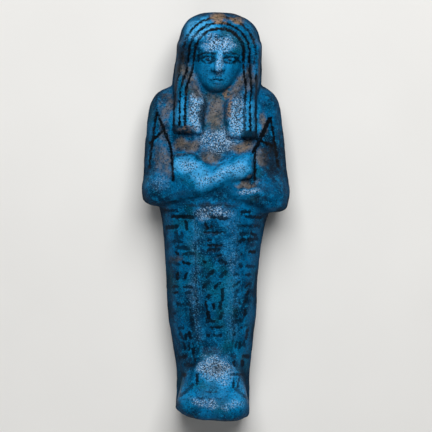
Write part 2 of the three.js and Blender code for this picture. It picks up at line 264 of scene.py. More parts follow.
# Dusty: throat, chest under the lappets, crook of an elbow, beside the face, shoulder, upper arms, legs
# and instep
DUST_OVALS = (
    (0.0, 87.0, 2.6, 6.4, 0.95), (-7.5, 77.2, 5.0, 2.0, 0.95), (8.0, 77.3, 3.4, 1.9, 0.95),
    (-0.8, 74.0, 2.8, 1.7, 0.85), (8.6, 66.8, 3.6, 0.9, 0.9), (8.6, 96.0, 1.6, 3.6, 0.75),
    (-13.4, 87.2, 1.9, 4.6, 0.8), (-14.6, 81.0, 1.6, 3.4, 0.6), (-14.6, 73.0, 2.4, 5.0, 0.75),
    (13.4, 83.2, 1.5, 3.2, 0.9), (13.0, 74.0, 2.0, 2.6, 0.9), (-10.6, 45.2, 1.8, 1.1, 0.6),
    (1.2, 14.8, 4.2, 2.8, 0.55),
)
# Dusty: the hollow round the jaw
DUST_BARS = (
    ((-9.4, 99.6), (-4.8, 91.6), 2.4, 0.95), ((8.9, 98.4), (4.9, 91.4), 2.2, 0.9),
)
# Bare body: crown and chest
BARE_OVALS = (
    (-0.7, 113.5, 2.6, 1.4, 1.0), (5.2, 113.1, 2.6, 0.9, 0.9), (8.0, 77.0, 1.6, 0.9, 0.5),
)
# Bare body: a lappet's inner edge, and the other one's end
BARE_BARS = (
    ((3.3, 93.0), (3.9, 86.5), 1.3, 0.9), ((-9.8, 81.2), (-4.0, 81.2), 1.2, 0.4),
)
# Painted highlights, a sheen on the glaze: fists, nose, wig, forehead, feet, instep, face, lappets and elbow
PAINTED_SHEEN_OVALS = (
    (-8.5, 70.9, 4.0, 3.2, 1.0), (7.9, 71.2, 2.8, 2.9, 0.9), (0.0, 101.0, 1.6, 4.0, 0.8),
    (-5.6, 110.0, 5.4, 3.2, 1.0), (0.0, 105.4, 5.0, 2.6, 0.6), (6.8, 6.8, 3.2, 4.2, 0.47),
    (-7.4, 6.0, 3.0, 4.2, 0.42), (1.0, 13.0, 6.0, 5.0, 0.5), (0.0, 98.0, 7.0, 5.6, 0.44),
    (-9.6, 86.0, 2.4, 6.0, 0.6), (9.9, 86.0, 2.4, 6.0, 0.6), (9.5, 64.4, 3.6, 1.6, 0.5),
    (-5.2, 85.0, 2.6, 5.4, 1.0), (6.0, 84.0, 2.6, 5.2, 1.0),
)
# Painted highlights, a sheen on the glaze: the upper forearm, the lower fist's wrist, and a strip of the legs
PAINTED_SHEEN_BARS = (
    ((-3.6, 67.6), (8.0, 72.0), 4.2, 0.95), ((-8.4, 71.4), (-3.0, 69.5), 3.4, 0.8),
    ((5.4, 50.0), (4.8, 24.0), 2.0, 0.22),
)
# Grimy, and painted shade: upper arm, wig beside the face, lappets, waist, elbows, legs and instep; the waist
# oval paints the shadow under the hem, and the three elbow ovals paint shade on the elbows
GRIME_AND_SHADE_OVALS = (
    (16.0, 73.0, 3.0, 6.0, 0.9), (-10.6, 101.5, 1.8, 5.0, 0.9), (-3.2, 86.0, 0.9, 5.6, 0.9),
    (6.5, 88.0, 0.8, 4.6, 0.6), (-7.0, 88.0, 0.7, 5.0, 0.6), (8.8, 98.5, 1.4, 4.5, 0.5),
    (0.0, 60.9, 9.0, 0.7, 0.7), (10.5, 62.0, 5.0, 1.0, 0.5), (-10.5, 45.0, 2.4, 1.6, 0.6),
    (1.2, 14.2, 2.2, 1.6, 0.5), (-11.5, 64.0, 4.0, 1.2, 0.3), (16.0, 66.0, 3.6, 3.6, 0.4),
)

# Patches of the sides and back: noise as (cell, share), turned so that no cells line up along the figure, and
# (strength, seed) of wear and dust
HIDDEN_NOISE = ((9.0, 1.0), (3.1, 0.6), (1.2, 0.35))
HIDDEN_TURN = math.radians(34)
HIDDEN_WEAR = (0.55, 41)
HIDDEN_DUST = (0.8, 51)

# Screen colours of the finish, from 0 to 255
DEEP_GLAZE = (0, 44, 72)
GLAZE = (0, 93, 142)
BRIGHT_GLAZE = (6, 132, 190)
TEAL_GLAZE = (6, 92, 112)
# Painted highlights: a sheen on the glaze, paler where it is strongest
PAINTED_SHEEN_GLAZE = (8, 144, 208)
PAINTED_HIGHLIGHT_GLAZE = (70, 166, 224)
# Painted shade on the flanks
FLANK_SHADE_GLAZE = (0, 32, 54)
# Wear's pale wash and its flecks, partly painted glints on the glaze
WORN_AND_SHEEN_GLAZE = (106, 160, 204)
PALE_FLECK = (178, 206, 232)
GLAZE_FLECK = (44, 150, 196)
PAINT = (6, 11, 16)
# Pits in the glaze, and also painted shade in hollows
PIT_AND_SHADE = (4, 18, 30)
DUST = (116, 103, 87)
DUST_SHADE = (66, 66, 62)
BARE_BODY = (158, 128, 98)
BARE_SHADE = (96, 84, 70)
# Grime, and also painted shade under the hem and on the elbows
GRIME_AND_SHADE = (26, 25, 24)
PAPER = (228, 227, 224)
PALE_PAPER = (236, 235, 232)

# Sizes of the finish's noises, in millimetres
CLOUD_SIZE = 7.0
TEAL_SIZE = 11.0
MOTTLE_SIZE = 1.7
GRAIN_SIZE = 0.8
FLECK_SIZE = 0.34
PIT_SIZE = 0.4
PAPER_SIZE = 40.0

# Studio, in metres and watts: the camera's height over the plane where the frame's width is measured, that
# plane's height, the camera's sideways place and its turn in degrees, and the lights
CAMERA_HEIGHT = 0.9
VIEW_PLANE = 0.012
FRAME_WIDTH = 0.12207
CAMERA_SIDE = 0.00015
CAMERA_TURN = 0.9
FLOOR_HALF = 3.0
SOFTBOX = {"place": (0.04, 0.36, 0.55), "size": 0.5, "power": 5.3}
FILL = {"place": (-0.1, -0.5, 0.45), "size": 0.5, "power": 0.9}
WORLD_LIGHT = 0.16


def join(a, b, reach):
    """Two forms as one: the smaller distance, less a fillet where the two are within reach of each other."""
    overlap = np.maximum(reach - np.abs(a - b), 0)
    return np.minimum(a, b) - overlap * overlap / (4 * reach)


def trim(a, b, reach):
    """What lies in both forms, with its new edge rounded by about the reach."""
    return -join(-a, -b, reach)


def cut(a, b, reach):
    """The first form without the second."""
    return trim(a, -b, reach)


def along(stations, height):
    """A smooth curve through [height, size] stations: cubic pieces whose slopes are central differences."""
    places, sizes = np.array(stations, float).T
    last = len(places) - 1
    before = np.maximum(np.arange(last + 1) - 1, 0)
    after = np.minimum(np.arange(last + 1) + 1, last)
    slopes = (sizes[after] - sizes[before]) / (places[after] - places[before])
    height = np.clip(height, places[0], places[-1])
    i = np.clip(np.searchsorted(places, height, side="right") - 1, 0, last - 1)
    span = places[i + 1] - places[i]
    t = (height - places[i]) / span
    bend = t * t * (3 - 2 * t)
    leave = t * (1 - t) ** 2 * span * slopes[i]
    arrive = t * t * (1 - t) * span * slopes[i + 1]
    return sizes[i] * (1 - bend) + sizes[i + 1] * bend + leave - arrive


def superellipse(across, half_across, deep, half_deep, power):
    """A superellipse's distance: its share of the way to the edge, times its shorter half-axis."""
    share = (np.abs(across / half_across) ** power + np.abs(deep / half_deep) ** power) ** (1 / power)
    return (share - 1) * np.minimum(half_across, half_deep)


def section(form, x, z, half_width, front, back):
    """A lofted form's section: one superellipse half in front of its widest place and one behind it."""
    waist = back + form["widest"] * (front - back)
    ahead = superellipse(x, half_width, z - waist, front - waist, form["front_power"])
    behind = superellipse(x, half_width, z - waist, waist - back, form["back_power"])
    return np.where(z > waist, ahead, behind)


def loft(form, x, h, z):
    """A whole lofted form, ending at its last station."""
    sizes = [along(form[name], h) for name in ("half_width", "front", "back")]
    return np.maximum(section(form, x, z, *sizes), h - form["half_width"][-1][0])


def ellipsoid(x, h, z, centre, radii):
    """An ellipsoid's distance: its scaled radius less one, over the steepness of that radius."""
    p = [(value - middle) / radius for value, middle, radius in zip((x, h, z), centre, radii)]
    share = np.sqrt(p[0] ** 2 + p[1] ** 2 + p[2] ** 2)
    steepness = np.sqrt(sum((value / radius) ** 2 for value, radius in zip(p, radii)))
    return share * (share - 1) / np.maximum(steepness, 1e-6)


def limb(x, h, z, start, end, start_radius, end_radius):
    """A round limb: the distance to a straight line between two points, less an evenly changing radius."""
    run = [b - a for a, b in zip(start, end)]
    offset = [value - a for value, a in zip((x, h, z), start)]
    t = np.clip(sum(o * r for o, r in zip(offset, run)) / sum(r * r for r in run), 0, 1)
    gap = np.sqrt(sum((o - t * r) ** 2 for o, r in zip(offset, run)))
    return gap - (start_radius + (end_radius - start_radius) * t)


def rounded_block(x, h, z, centre, half, rounding):
    """A block's distance: how far a point is past the faces of a smaller block, less the rounding."""
    out = [np.abs(v - c) - s + rounding for v, c, s in zip((x, h, z), centre, half)]
    outside = np.sqrt(sum(np.maximum(value, 0) ** 2 for value in out))
    return outside + np.minimum(np.maximum(np.maximum(out[0], out[1]), out[2]), 0) - rounding


def shroud_with_feet(x, h, z):
    """The wrapped legs, with two round feet pushing forward under the cloth."""
    feet = [limb(side * x, h, z, INSTEP, TOES, INSTEP_RADIUS, TOE_RADIUS) for side in (1, -1)]
    return join(loft(SHROUD, x, h, z), join(feet[0], feet[1], FEET_BLEND), INSTEP_BLEND)


def bust_with_arms(x, h, z):
    """Chest, shoulders and upper arms, cut off below along the curved hem of the elbows."""
    bust = join(loft(BUST, x, h - SHOULDER_TILT * x, z), limb(np.abs(x), h, z, *UPPER_ARM), UPPER_ARM_BLEND)
    hem = HEM["middle"] - HEM["droop"] * (x / HEM["droop_at"]) ** 2 - HEM["skew"] * x
    return trim(bust, hem - h, HEM["rounding"])


def forearm(x, h, z, path, fist):
    """A forearm bent at its middle, from one elbow across the chest, ending in a rounded block as fist."""
    lower = limb(x, h, z, path[0], path[1], ARM_RADII[0], ARM_RADII[1])
    upper = limb(x, h, z, path[1], path[2], ARM_RADII[1], ARM_RADII[2])
    return join(np.minimum(lower, upper), rounded_block(x, h, z, *fist, FIST_ROUNDING), WRIST_BLEND)


def dome_share(x, h, power):
    """How much of a section is left as the crown closes: a superellipse from 1 at its start to nearly 0."""
    rise = np.clip((h + CROWN_TILT * x - DOME_START) / (LENGTH - DOME_START), 0, 1)
    return np.maximum(1 - rise**power, 1e-4) ** (1 / power)


def wig(x, h, z):
    """Head of hair: a loft closing in a superelliptic dome, two lappets, and a hollow cut for the face."""
    flatten = dome_share(x, h, DOME_DEPTH_POWER)
    front = DOME_DEPTH + (along(WIG["front"], h) - DOME_DEPTH) * flatten
    back = DOME_DEPTH + (along(WIG["back"], h) - DOME_DEPTH) * flatten
    head = section(WIG, x, z, along(WIG["half_width"], h) * dome_share(x, h, DOME_POWER), front, back)
    head = trim(head, WIG_END - h, WIG["end_rounding"])

    across = np.abs(x) - along(LAPPET["x"], h)
    depth = along(LAPPET["front"], h) - LAPPET["core"]
    half_width = along(LAPPET["half_width"], h)
    lappet = superellipse(across, half_width, z - LAPPET["core"], depth, LAPPET["power"])
    end = LAPPET_END - LAPPET["skew"] * x
    lappet = trim(lappet, np.maximum(end - h, h - LAPPET["top"]), LAPPET["end_rounding"])

    ring = np.sqrt((x / NICHE["half_width"]) ** 2 + ((h - NICHE["h"]) / NICHE["half_height"]) ** 2)
    floor = NICHE["floor"] + NICHE["slope"] * np.maximum(h - NICHE["slope_start"], 0)
    niche = trim((ring - 1) * NICHE["half_width"], floor - z, NICHE["rounding"])
    return cut(join(head, lappet, LAPPET["blend"]), niche, NICHE["edge"])


def face(x, h, z):
    """A calm, general face: an oval with brows, eyes, nose, lips, chin and ears, blended into it."""
    side = np.abs(x)
    form = join(ellipsoid(x, h, z, *FACE_OVAL), ellipsoid(x, h, z, *FOREHEAD), 1.5)
    form = join(form, ellipsoid(x, h, z, *CHIN_BOSS), 2.4)
    form = join(form, limb(side, h, z, *BROW_RIDGE), 1.0)
    form = cut(form, ellipsoid(side, h, z, *EYE_SOCKET), 0.8)
    form = join(form, ellipsoid(side, h, z, *EYEBALL), 0.3)
    form = join(form, limb(x, h, z, *NOSE_BRIDGE), 0.9)
    form = join(form, ellipsoid(side, h, z, *NOSTRIL), 0.5)
    form = join(form, limb(side, h, z, *UPPER_LIP), 0.4)
    form = join(form, limb(side, h, z, *LOWER_LIP), 0.4)
    return join(form, ellipsoid(side, h, z, *EAR), 0.6)


def figure(points):
    """The whole figure's distance, cut flat along its back and its soles."""
    x, h, z = np.moveaxis(points, -1, 0)
    form = join(shroud_with_feet(x, h, z), bust_with_arms(x, h, z), WAIST_BLEND)
    form = join(form, forearm(x, h, z, UNDER_ARM, UNDER_FIST), along(UNDER_BLEND, x))
    form = join(form, forearm(x, h, z, OVER_ARM, OVER_FIST), along(OVER_BLEND, x))
    form = join(form, join(wig(x, h, z), face(x, h, z), FACE_BLEND), HEAD_BLEND)
    return np.maximum(trim(form, -h, SOLE_ROUNDING), -z)


def ring_rays():
    """The rays of a ring: straight up from the core, round one end, straight down, round the other end."""
    quarter = math.pi / 2
    shares = np.concatenate([
        np.linspace(-1, 1, FRONT_COLUMNS, endpoint=False),
        np.ones(SIDE_COLUMNS),
        np.linspace(1, -1, BACK_COLUMNS, endpoint=False),
        -np.ones(SIDE_COLUMNS),
    ])
    angles = np.concatenate([
        np.full(FRONT_COLUMNS, quarter),
        np.linspace(quarter, -quarter, SIDE_COLUMNS, endpoint=False),
        np.full(BACK_COLUMNS, -quarter),
        np.linspace(-quarter, -3 * quarter, SIDE_COLUMNS, endpoint=False),
    ])
    return shares, np.cos(angles), np.sin(angles)


def ring_heights():
    """Ring heights: even steps in each zone, closer where the carving is finer, and by sines in the dome."""
    parts = [np.linspace(low, high, steps, endpoint=False) for low, high, steps in RING_ZONES]
    turns = np.linspace(0, DOME_END, DOME_RINGS) * math.pi / 2
    parts.append(DOME_START + (LENGTH - DOME_START) * np.sin(turns))
    return np.concatenate(parts)


def slope_of(points):
    """The steepest direction of the figure's distance at each point, by small differences."""
    step = 0.02
    rise = [figure(points + step * axis) - figure(points - step * axis) for axis in np.eye(3)]
    return np.stack(rise, axis=-1) / (2 * step)


def skin_grid():
    """Points where the rays meet the skin, by halving, then settled so that they spread evenly over it."""
    heights = ring_heights()[:, None]
    shares, across, up = ring_rays()
    start = np.stack(np.broadcast_arrays(
        shares * along(CORE_HALF, heights), heights, along(CORE_DEPTH, heights)), axis=-1)
    ray = np.stack(np.broadcast_arrays(across, 0 * heights, up), axis=-1)
    inside = np.zeros(start.shape[:2])
    outside = np.full(start.shape[:2], RAY_LENGTH)
    for _ in range(RAY_HALVINGS):
        reach = (inside + outside) / 2
        within = figure(start + reach[..., None] * ray) < 0
        inside = np.where(within, reach, inside)
        outside = np.where(within, outside, reach)
    points = start + inside[..., None] * ray
    for _ in range(SETTLE_ROUNDS):
        points = settled(points)
    points[..., 2] = np.maximum(points[..., 2], 0)
    return points


def settled(points):
    """Each inner point moves along the skin towards the middle of its four neighbours, then back onto it."""
    inner = points[1:-1]
    around = (np.roll(inner, 1, 1) + np.roll(inner, -1, 1) + points[:-2] + points[2:]) / 4
    slope = slope_of(inner)
    steepness = np.maximum(np.linalg.norm(slope, axis=-1, keepdims=True), 0.3)
    normal = slope / steepness
    move = around - inner
    move -= normal * np.sum(move * normal, axis=-1, keepdims=True)
    moved = inner + 0.5 * move
    moved -= normal * np.clip(figure(moved)[..., None] / steepness, -0.3, 0.3)
    return np.concatenate([points[:1], moved, points[-1:]])


def eased(low, high, value):
    """A smooth step from 0 to 1 between two values."""
    t = np.clip((value - low) / (high - low), 0, 1)
    return t * t * (3 - 2 * t)


def lattice_noise(points, cell, seed):
    """Smooth noise from -1 to 1: random values at the corners of cubes of one size, eased between them."""
    table = np.random.default_rng(seed).uniform(-1, 1, (NOISE_CELLS,) * 3)
    corner = np.floor(points / cell).astype(int)
    share = points / cell - corner
    share = share * share * (3 - 2 * share)
    total = np.zeros(points.shape[:-1])
    for offset in np.ndindex(2, 2, 2):
        weight = np.prod(np.where(offset, share, 1 - share), axis=-1)
        total += weight * table[tuple(np.moveaxis((corner + offset) % NOISE_CELLS, -1, 0))]
    return total


def hand_relief(points):
    """The uneven skin of a pressed figure: noise of several sizes, none where the back lies flat."""
    total = sum(height * lattice_noise(points, cell, seed) for height, cell, seed in RELIEF)
    return total * eased(0.0, 2.0, points[..., 2])


def hollowness(points, normal):
    """How enclosed each point is, for painted shade in hollows: where the figure's distance grows more slowly
    than a walk off the skin.
    """
    total = sum(weight * (1 - figure(points + walk * normal) / walk) for walk, weight in HOLLOW_WALKS)
    return np.clip(total, 0, 1)


def flank_shade_mask(points, normal):
    """A mask of painted shade on the flanks: how upright a wall stands, full on low walls, and on high ones
    only where they face the soles, away from the softbox.
    """
    upright = eased(0.8, 0.2, normal[..., 2]) * eased(0.5, 3.0, points[..., 2])
    averted = np.maximum(eased(19, 14, points[..., 2]), 0.8 * eased(0.4, -0.2, normal[..., 1]))
    return upright * averted


def bent(points):
    """The firing's small distortions: the soles bulge, and the middle drifts from side to side."""
    x, h, z = np.moveaxis(points, -1, 0)
    fade = np.maximum(1 - h / SOLE_REACH, 0) ** 2
    bulge = SOLE_RISE * ((x - SOLE_LOW_POINT) / FOOT_HALF) ** 2 * fade
    return np.stack([x + along(DRIFT, h), h + bulge, z], axis=-1)


def with_soles(values, middle):
    """Rings of points, or of values at them, with the soles filled by smaller rings inside the first one."""
    shares = SOLE_SHARES.reshape(-1, *[1] * (values.ndim - 1))
    return np.concatenate([middle + shares * (values[0] - middle), values])


def stroke(x, h, start, end, half_width):
    """A painted stroke: the distance to a straight line between two points, less half the line's width."""
    run = (end[0] - start[0], end[1] - start[1])
    t = np.clip(((x - start[0]) * run[0] + (h - start[1]) * run[1]) / (run[0] ** 2 + run[1] ** 2), 0, 1)
    return np.hypot(x - start[0] - t * run[0], h - start[1] - t * run[1]) - half_width


def even_lines(place, spacing, half_width):
    """Lines at even spacing, one of them at zero: the distance to the nearest one, less half its width."""
    return np.abs(np.mod(place + spacing / 2, spacing) - spacing / 2) - half_width


def wig_stripes(x, h, z):
    """Stripes of the wig: rings round the face and down the lappets, and even lines at the sides and back."""
    ring = np.hypot(x, np.maximum(h - STRIPE_CENTRE, 0) * WIG_HALF / (LENGTH - STRIPE_CENTRE))
    ring = ring - LAPPET_SPREAD * eased(101, 92, h)
    front = np.minimum.reduce([np.abs(ring - radius) - half for radius, half in WIG_STRIPES])
    narrow = np.maximum(dome_share(x, h, DOME_POWER), NARROWEST)
    level = (z - DOME_DEPTH) / np.maximum(dome_share(x, h, DOME_DEPTH_POWER), NARROWEST)
    beside = even_lines(level, SIDE_STRIPES["spacing"], SIDE_STRIPES["half_width"])
    between = x / narrow + BACK_STRIPES["spacing"] / 2
    behind = even_lines(between, BACK_STRIPES["spacing"], BACK_STRIPES["half_width"])
    on_side = (z > SIDE_STRIPES["low"]) & (z < SIDE_STRIPES["high"])
    on_side &= np.abs(x) > SIDE_STRIPES["outside"] * narrow
    return np.where(on_side, beside, np.where(z > BACK_STRIPES["high"], front, behind))


def text_strokes(seed):
    """Rows of strokes that are no letters: in each cell of a column a few bars chosen by chance."""
    chance = np.random.default_rng(seed)
    strokes = []
    for middle, half, end_height in TEXT_COLUMNS:
        height = TEXT_TOP
        while height > end_height:
            room = chance.uniform(0.8, 1.2) * TEXT_ROW
            low, high = height - 0.26 * room, height + 0.26 * room
            left, right = middle - half * chance.uniform(0.5, 1), middle + half * chance.uniform(0.5, 1)
            level = chance.uniform(low, high)
            place = chance.uniform(left + 1, right - 1)
            kinds = [
                [((left, level), (right, level))],
                [((left, high), (place, high)), ((place - 0.6, low), (right, low))],
                [((spot, low), (spot, high)) for spot in np.linspace(left + 0.6, right - 0.6, 3)],
                [((spot, low), (spot, high)) for spot in (left + 0.8, place + 0.8)],
                [((spot - 0.6, low), (spot + 0.6, high)) for spot in (left + 1, right - 1)],
                [((left + 0.3, level), (left + 0.9, level)), ((place + 0.9, level), (right, level))],
                [
                    ((left, level), (place - 0.9, level)),
                    ((right - 0.4, low - 0.5), (right - 0.4, high + 0.5)),
                ],
            ]
            for start, end in kinds[chance.integers(len(kinds))]:
                shake = chance.uniform(-0.35, 0.35, 4)
                ends = (start[0] + shake[0], start[1] + shake[1]), (end[0] + shake[2], end[1] + shake[3])
                strokes.append((*ends, chance.uniform(0.34, 0.64), chance.uniform(0.7, 1.0)))
            height -= room
    return strokes


def nearest(layers):
    """Of several (signed distance, strength) layers the smallest distance everywhere, and its strength."""
    ink, strength = np.full(layers[0][0].shape, FAR), np.zeros(layers[0][0].shape)
    for distance, value in layers:
        strength = np.where(distance < ink, value, strength)
        ink = np.minimum(ink, distance)
    return ink, strength


def carved_lines(x, h, z):
    """The wig's stripes, and the legs' strokes and dividing lines, as (signed distance, strength) layers."""
    on_hair = (wig(x, h, z) < 0.35) & (face(x, h, z) > 0.2)
    layers = [(np.where(on_hair, wig_stripes(x, h, z), FAR), 1.0)]
    on_legs = (z > 9) & (h < 60.3)
    taper = along(SHROUD["half_width"], h) / along(SHROUD["half_width"], 44.0)
    for start, end, half, strength in text_strokes(TEXT_SEED):
        layers.append((np.where(on_legs, stroke(x / taper, h, start, end, half), FAR), strength))
    for place in TEXT_DIVIDERS:
        line = stroke(x / taper, h, (place, TEXT_TOP), (place, TEXT_END), DIVIDER_HALF)
        layers.append((np.where(on_legs, line, FAR), 0.45))
    return layers


def brushed_lines(x, h, z):
    """Dark lines: paint for the hoes on the arms, the lappet ends and the face's lines, and on the feet
    painted shade along the ankle creases and paint across the toes.
    """
    hair, skin_of_face = wig(x, h, z), face(x, h, z)
    front = z > 9
    on_lappet = (hair < 0.35) & (skin_of_face > 0.2) & front & (h < 91)
    on_face = (skin_of_face < 0.3) & (h < HAIRLINE) & (np.abs(x) < 7)
    side = np.abs(x)
    lid = np.hypot((side - EYE_SPACING) / 1.75, (h - EYE_LEVEL) / 0.85)
    face_lines = [
        np.abs(lid - 1) * 0.9 - 0.26,
        np.hypot(side - EYE_SPACING, h - EYE_LEVEL) - 0.5,
        stroke(side, h, (EYE_SPACING + 1.6, EYE_LEVEL), (EYE_SPACING + 3.0, EYE_LEVEL - 0.3), 0.25),
        stroke(side, h, (1.2, BROW + 0.5), (3.3, BROW + 0.9), 0.35),
        stroke(side, h, (3.3, BROW + 0.9), (5.6, BROW + 0.2), 0.3),
        stroke(side, h, (0, NOSE_BASE - 2.05), (1.8, NOSE_BASE - 2.0), 0.16),
    ]
    layers = [(np.where(on_face, line, FAR), 0.9) for line in face_lines]
    band = np.abs(h - LAPPET_END + LAPPET["skew"] * x - 1.3) - 1.1
    layers.append((np.where(on_lappet & ((x < -5.0) | (x > 7.2)), band, FAR), 0.85))
    layers.append((np.where(on_lappet, np.abs(x + 3.0) - 0.35, FAR), 0.7))
    on_arm = front & (hair > 0.35)
    for start, end, half in HOE_STROKES:
        layers.append((np.where(on_arm, stroke(x, h, start, end, half), FAR), 1.0))
    # On the feet: painted shade along the ankle creases, and paint across the toes
    for start, end, half in FOOT_STROKES_AND_SHADE:
        layers.append((np.where(front, stroke(x, h, start, end, half), FAR), 0.7))
    return layers


def warped(points):
    """Across and height of each point, shaken by noise so that soft patches get ragged outlines."""
    shake = [
        1.3 * lattice_noise(points, 3.3, seed) + 0.6 * lattice_noise(points, 1.3, seed + 1)
        for seed in (21, 31)
    ]
    return points[..., 0] + shake[0], points[..., 1] + shake[1]


def blotches(points, ovals, bars=()):
    """Soft ragged patches on the front: each fades over an oval's outline or over its reach from a bar."""
    x, h = warped(points)
    total = np.zeros(x.shape)
    for across, height, half_across, half_height, strength in ovals:
        share = np.hypot((x - across) / half_across, (h - height) / half_height)
        total = np.maximum(total, strength * eased(1.5, 0.4, share))
    for start, end, reach, strength in bars:
        gap = stroke(x, h, start, end, 0.3 * reach)
        total = np.maximum(total, strength * eased(reach, -0.4 * reach, gap))
    return total * eased(8, 12, points[..., 2])


def turned(points, angle):
    """Points turned by one angle round each axis after another."""
    x, h, z = np.moveaxis(points, -1, 0)
    cosine, sine = math.cos(angle), math.sin(angle)
    x, h = cosine * x - sine * h, sine * x + cosine * h
    h, z = cosine * h - sine * z, sine * h + cosine * z
    z, x = cosine * z - sine * x, sine * z + cosine * x
    return np.stack([x, h, z], axis=-1)


def hidden_patches(points, strength, seed):
    """Ragged patches on the sides and back: where three sizes of noise add up high, none in front."""
    places = turned(points, HIDDEN_TURN)
    swell = sum(
        share * lattice_noise(places, cell, seed + i)
        for i, (cell, share) in enumerate(HIDDEN_NOISE)
    )
    return strength * eased(0.12, 0.65, swell) * eased(11.5, 7.5, points[..., 2])


def skin_mesh(points, attributes):
    """Quads between neighbouring rings, a fan at each end, and a flat map of rings against rays."""
    rings, columns = points.shape[:2]
    index = np.arange(rings * columns).reshape(rings, columns)
    after = np.roll(index, -1, axis=1)
    quads = np.stack([index[:-1], after[:-1], after[1:], index[1:]], axis=-1).reshape(-1, 4)
    low, high = rings * columns, rings * columns + 1
    fans = np.concatenate([
        np.stack([np.full(columns, low), after[0], index[0]], axis=-1),
        np.stack([index[-1], after[-1], np.full(columns, high)], axis=-1),
    ])
    ends = np.stack([points[0].mean(axis=0), points[-1].mean(axis=0)])
    corners = np.concatenate([points.reshape(-1, 3), ends])
    loops = np.concatenate([quads.ravel(), fans.ravel()])
    sides = np.concatenate([np.full(len(quads), 4), np.full(len(fans), 3)])

    mesh = bpy.data.meshes.new("ushabti_skin")
    mesh.vertices.add(len(corners))
    mesh.vertices.foreach_set("co", corners.astype(np.float32).ravel())
    mesh.loops.add(len(loops))
    mesh.loops.foreach_set("vertex_index", loops.astype(np.int32))
    mesh.polygons.add(len(sides))
    mesh.polygons.foreach_set("loop_start", (np.cumsum(sides) - sides).astype(np.int32))
    mesh.update(calc_edges=True)
    mesh.polygons.foreach_set("use_smooth", np.ones(len(sides), bool))
    for name, values in attributes.items():
        ends = [values[0].mean(), values[-1].mean()]
        layer = mesh.attributes.new(name, "FLOAT", "POINT")
        layer.data.foreach_set("value", np.concatenate([values.ravel(), ends]).astype(np.float32))

    column = np.tile(np.arange(columns), rings - 1)
    ring = np.repeat(np.arange(rings - 1), columns)
    quad_map = np.stack([
        np.stack([column, column + 1, column + 1, column], axis=-1) / columns,
        (np.stack([ring, ring, ring + 1, ring + 1], axis=-1) + 1) / (rings + 1),
    ], axis=-1)
    column = np.arange(columns)
    fan_across = np.concatenate([
        np.stack([column + 0.5, column + 1, column], axis=-1),
        np.stack([column, column + 1, column + 0.5], axis=-1),
    ])
    fan_up = np.concatenate([
        np.tile([0, 1, 1], (columns, 1)),
        np.tile([rings, rings, rings + 1], (columns, 1)),
    ])
    fan_map = np.stack([fan_across / columns, fan_up / (rings + 1)], axis=-1)
    layer = mesh.uv_layers.new(name="OFBake")
    flat = np.concatenate([quad_map.reshape(-1, 2), fan_map.reshape(-1, 2)])
    layer.data.foreach_set("uv", flat.astype(np.float32).ravel())
    return mesh


def linear(red, green, blue):
    """A screen colour from 0 to 255 as the linear colour that a shader takes."""
    share = np.array([red, green, blue]) / 255
    value = np.where(share > 0.04045, ((share + 0.055) / 1.055) ** 2.4, share / 12.92)
    return (*value.tolist(), 1.0)


class Nodes:
    """A material's node tree, with one short call for each kind of node that it takes."""

    def __init__(self, name):
        self.material = bpy.data.materials.new(name)
        self.material.use_nodes = True
        self.tree = self.material.node_tree
        self.shader = self.tree.nodes["Principled BSDF"]
        self.place = self.new("ShaderNodeTexCoord").outputs["Object"]

    def new(self, kind, **settings):
        """A new node of a kind, with its settings."""
        node = self.tree.nodes.new(kind)
        for name, value in settings.items():
            setattr(node, name, value)
        return node

    def feed(self, socket, value):
        """Links an output to a socket, or sets a plain value on it."""
        if isinstance(value, bpy.types.NodeSocket):
            self.tree.links.new(value, socket)
        else:
            socket.default_value = value

    def attribute(self, name):
        """A value that the mesh carries at each point."""
        return self.new("ShaderNodeAttribute", attribute_name=name).outputs["Fac"]

    def noise(self, size_mm, detail=2.0, rough=0.5):
        """Noise of one main size, from 0 to 1."""
        node = self.new("ShaderNodeTexNoise")
        self.feed(node.inputs["Vector"], self.place)
        self.feed(node.inputs["Scale"], 1000 / size_mm)
        self.feed(node.inputs["Detail"], detail)
        self.feed(node.inputs["Roughness"], rough)
        return node.outputs["Fac"]

    def math(self, operation, *values):
        """One sum of two or three values."""
        node = self.new("ShaderNodeMath", operation=operation)
        for socket, value in zip(node.inputs, values):
            self.feed(socket, value)
        return node.outputs[0]

    def step(self, value, low, high):
        """A smooth step from 0 to 1 between two values."""
        node = self.new("ShaderNodeMapRange", interpolation_type="SMOOTHSTEP")
        self.feed(node.inputs["Value"], value)
        self.feed(node.inputs["From Min"], low)
        self.feed(node.inputs["From Max"], high)
        return node.outputs["Result"]

    def mix(self, share, a, b):
        """The first colour, turning to the second as the share grows to 1."""
        node = self.new("ShaderNodeMix", data_type="RGBA")
        self.feed(node.inputs["Factor"], share)
        self.feed(node.inputs[6], a)
        self.feed(node.inputs[7], b)
        return node.outputs[2]


